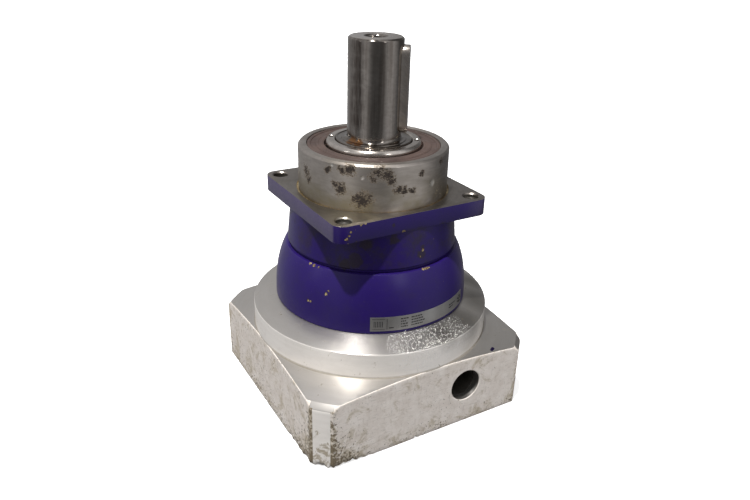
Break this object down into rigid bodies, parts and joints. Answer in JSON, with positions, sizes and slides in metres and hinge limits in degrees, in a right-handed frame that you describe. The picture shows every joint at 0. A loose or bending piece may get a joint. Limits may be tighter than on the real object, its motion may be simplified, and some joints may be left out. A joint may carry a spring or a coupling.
{
  "type": "inline gear reducer",
  "caption": "Inline planetary gear reducer with a square output flange, keyed output shaft, bell-shaped housing and square motor adapter with a clamping hub.",
  "frame": {"origin": "on the shaft axis, at the motor face of the adapter plate (the bottom)", "axes": "+Z along the output shaft towards its free end; -Y is the side of the adapter plate with the access hole for the clamp screw"},
  "size_m": [0.15, 0.15, 0.224],
  "materials": {
    "purple_paint": "satin dark purple enamel over cast steel, chipped at the edges",
    "adapter_aluminium": "turned and milled bare aluminium with handling marks",
    "nameplate_foil": "satin silver foil label",
    "brown_rubber": "matt brown moulded seal",
    "black_rubber": "matt black",
    "black_oxide_screw": "black oxide",
    "spring_steel": "phosphated spring steel",
    "nut_steel": "turned steel, lightly oiled",
    "key_steel": "ground steel",
    "shaft_steel": "ground steel with light corrosion stains",
    "bearing_steel": "ground bearing steel",
    "gear_steel": "case hardened ground steel",
    "machined_steel": "fine turned steel"
  },
  "bodies": {
    "housing": {"output_housing": "purple_paint", "gear_housing": "purple_paint", "adapter_plate": "adapter_aluminium", "ring_gear": "gear_steel", "output_seal": "brown_rubber", "front_bearing_outer_ring": "bearing_steel", "rear_bearing_outer_ring": "bearing_steel", "input_bearing_outer_ring": "bearing_steel", "input_seal": "black_rubber", "bore_circlip": "spring_steel", "output_o_ring": "black_rubber", "adapter_o_ring": "black_rubber", "adapter_screw_1": "black_oxide_screw", "adapter_screw_2": "black_oxide_screw", "adapter_screw_3": "black_oxide_screw", "adapter_screw_4": "black_oxide_screw", "housing_screw_1": "black_oxide_screw", "housing_screw_2": "black_oxide_screw", "housing_screw_3": "black_oxide_screw", "housing_screw_4": "black_oxide_screw", "nameplate": "nameplate_foil"},
    "output": {"output_shaft": "shaft_steel", "output_key": "key_steel", "bearing_nut": "nut_steel", "front_bearing_inner_ring": "bearing_steel", "rear_bearing_inner_ring": "bearing_steel", "bearing_spacer": "bearing_steel", "planet_pin_1": "machined_steel", "planet_pin_2": "machined_steel", "planet_pin_3": "machined_steel", "thrust_washer_1": "machined_steel", "thrust_washer_2": "machined_steel", "thrust_washer_3": "machined_steel", "thrust_washer_4": "machined_steel", "thrust_washer_5": "machined_steel", "thrust_washer_6": "machined_steel"},
    "input": {"input_shaft": "machined_steel", "sun_gear": "gear_steel", "clamp_ring": "machined_steel", "clamp_screw": "black_oxide_screw", "input_bearing_inner_ring": "bearing_steel", "shaft_circlip": "spring_steel"},
    "planet_1": {"planet_gear_1": "gear_steel"},
    "planet_2": {"planet_gear_2": "gear_steel"},
    "planet_3": {"planet_gear_3": "gear_steel"},
    "needles_1": {"needle_set_1": "bearing_steel"},
    "needles_2": {"needle_set_2": "bearing_steel"},
    "needles_3": {"needle_set_3": "bearing_steel"},
    "front_rollers": {"front_bearing_roller_set": "bearing_steel"},
    "rear_rollers": {"rear_bearing_roller_set": "bearing_steel"},
    "input_balls": {"input_bearing_ball_set": "bearing_steel"}
  },
  "joints": [
    {"name": "output_spin", "type": "hinge", "parent": "housing", "child": "output", "pos_m": [0, 0, 0.166], "axis": [0, 0, 1], "continuous": true},
    {"name": "input_spin", "type": "hinge", "parent": "housing", "child": "input", "pos_m": [0, 0, 0.0267], "axis": [0, 0, 1], "continuous": true},
    {"name": "planet_1_spin", "type": "hinge", "parent": "output", "child": "planet_1", "pos_m": [0.027, 0, 0.08775], "axis": [0, 0, 1], "continuous": true},
    {"name": "needles_1_spin", "type": "hinge", "parent": "output", "child": "needles_1", "pos_m": [0.027, 0, 0.08775], "axis": [0, 0, 1], "continuous": true},
    {"name": "planet_2_spin", "type": "hinge", "parent": "output", "child": "planet_2", "pos_m": [-0.0135, 0.02338, 0.08775], "axis": [0, 0, 1], "continuous": true},
    {"name": "needles_2_spin", "type": "hinge", "parent": "output", "child": "needles_2", "pos_m": [-0.0135, 0.02338, 0.08775], "axis": [0, 0, 1], "continuous": true},
    {"name": "planet_3_spin", "type": "hinge", "parent": "output", "child": "planet_3", "pos_m": [-0.0135, -0.02338, 0.08775], "axis": [0, 0, 1], "continuous": true},
    {"name": "needles_3_spin", "type": "hinge", "parent": "output", "child": "needles_3", "pos_m": [-0.0135, -0.02338, 0.08775], "axis": [0, 0, 1], "continuous": true},
    {"name": "front_rollers_spin", "type": "hinge", "parent": "housing", "child": "front_rollers", "pos_m": [0, 0, 0.141], "axis": [0, 0, 1], "continuous": true},
    {"name": "rear_rollers_spin", "type": "hinge", "parent": "housing", "child": "rear_rollers", "pos_m": [0, 0, 0.117], "axis": [0, 0, 1], "continuous": true},
    {"name": "input_balls_spin", "type": "hinge", "parent": "housing", "child": "input_balls", "pos_m": [0, 0, 0.0568], "axis": [0, 0, 1], "continuous": true}
  ],
  "couplings": [
    {"joint": "input_spin", "follows": "output_spin", "ratio": 4},
    {"joint": "planet_1_spin", "follows": "output_spin", "ratio": -3},
    {"joint": "needles_1_spin", "follows": "output_spin", "ratio": -1.7},
    {"joint": "planet_2_spin", "follows": "output_spin", "ratio": -3},
    {"joint": "needles_2_spin", "follows": "output_spin", "ratio": -1.7},
    {"joint": "planet_3_spin", "follows": "output_spin", "ratio": -3},
    {"joint": "needles_3_spin", "follows": "output_spin", "ratio": -1.7},
    {"joint": "front_rollers_spin", "follows": "output_spin", "ratio": 0.44},
    {"joint": "rear_rollers_spin", "follows": "output_spin", "ratio": 0.44},
    {"joint": "input_balls_spin", "follows": "output_spin", "ratio": 1.7}
  ]
}
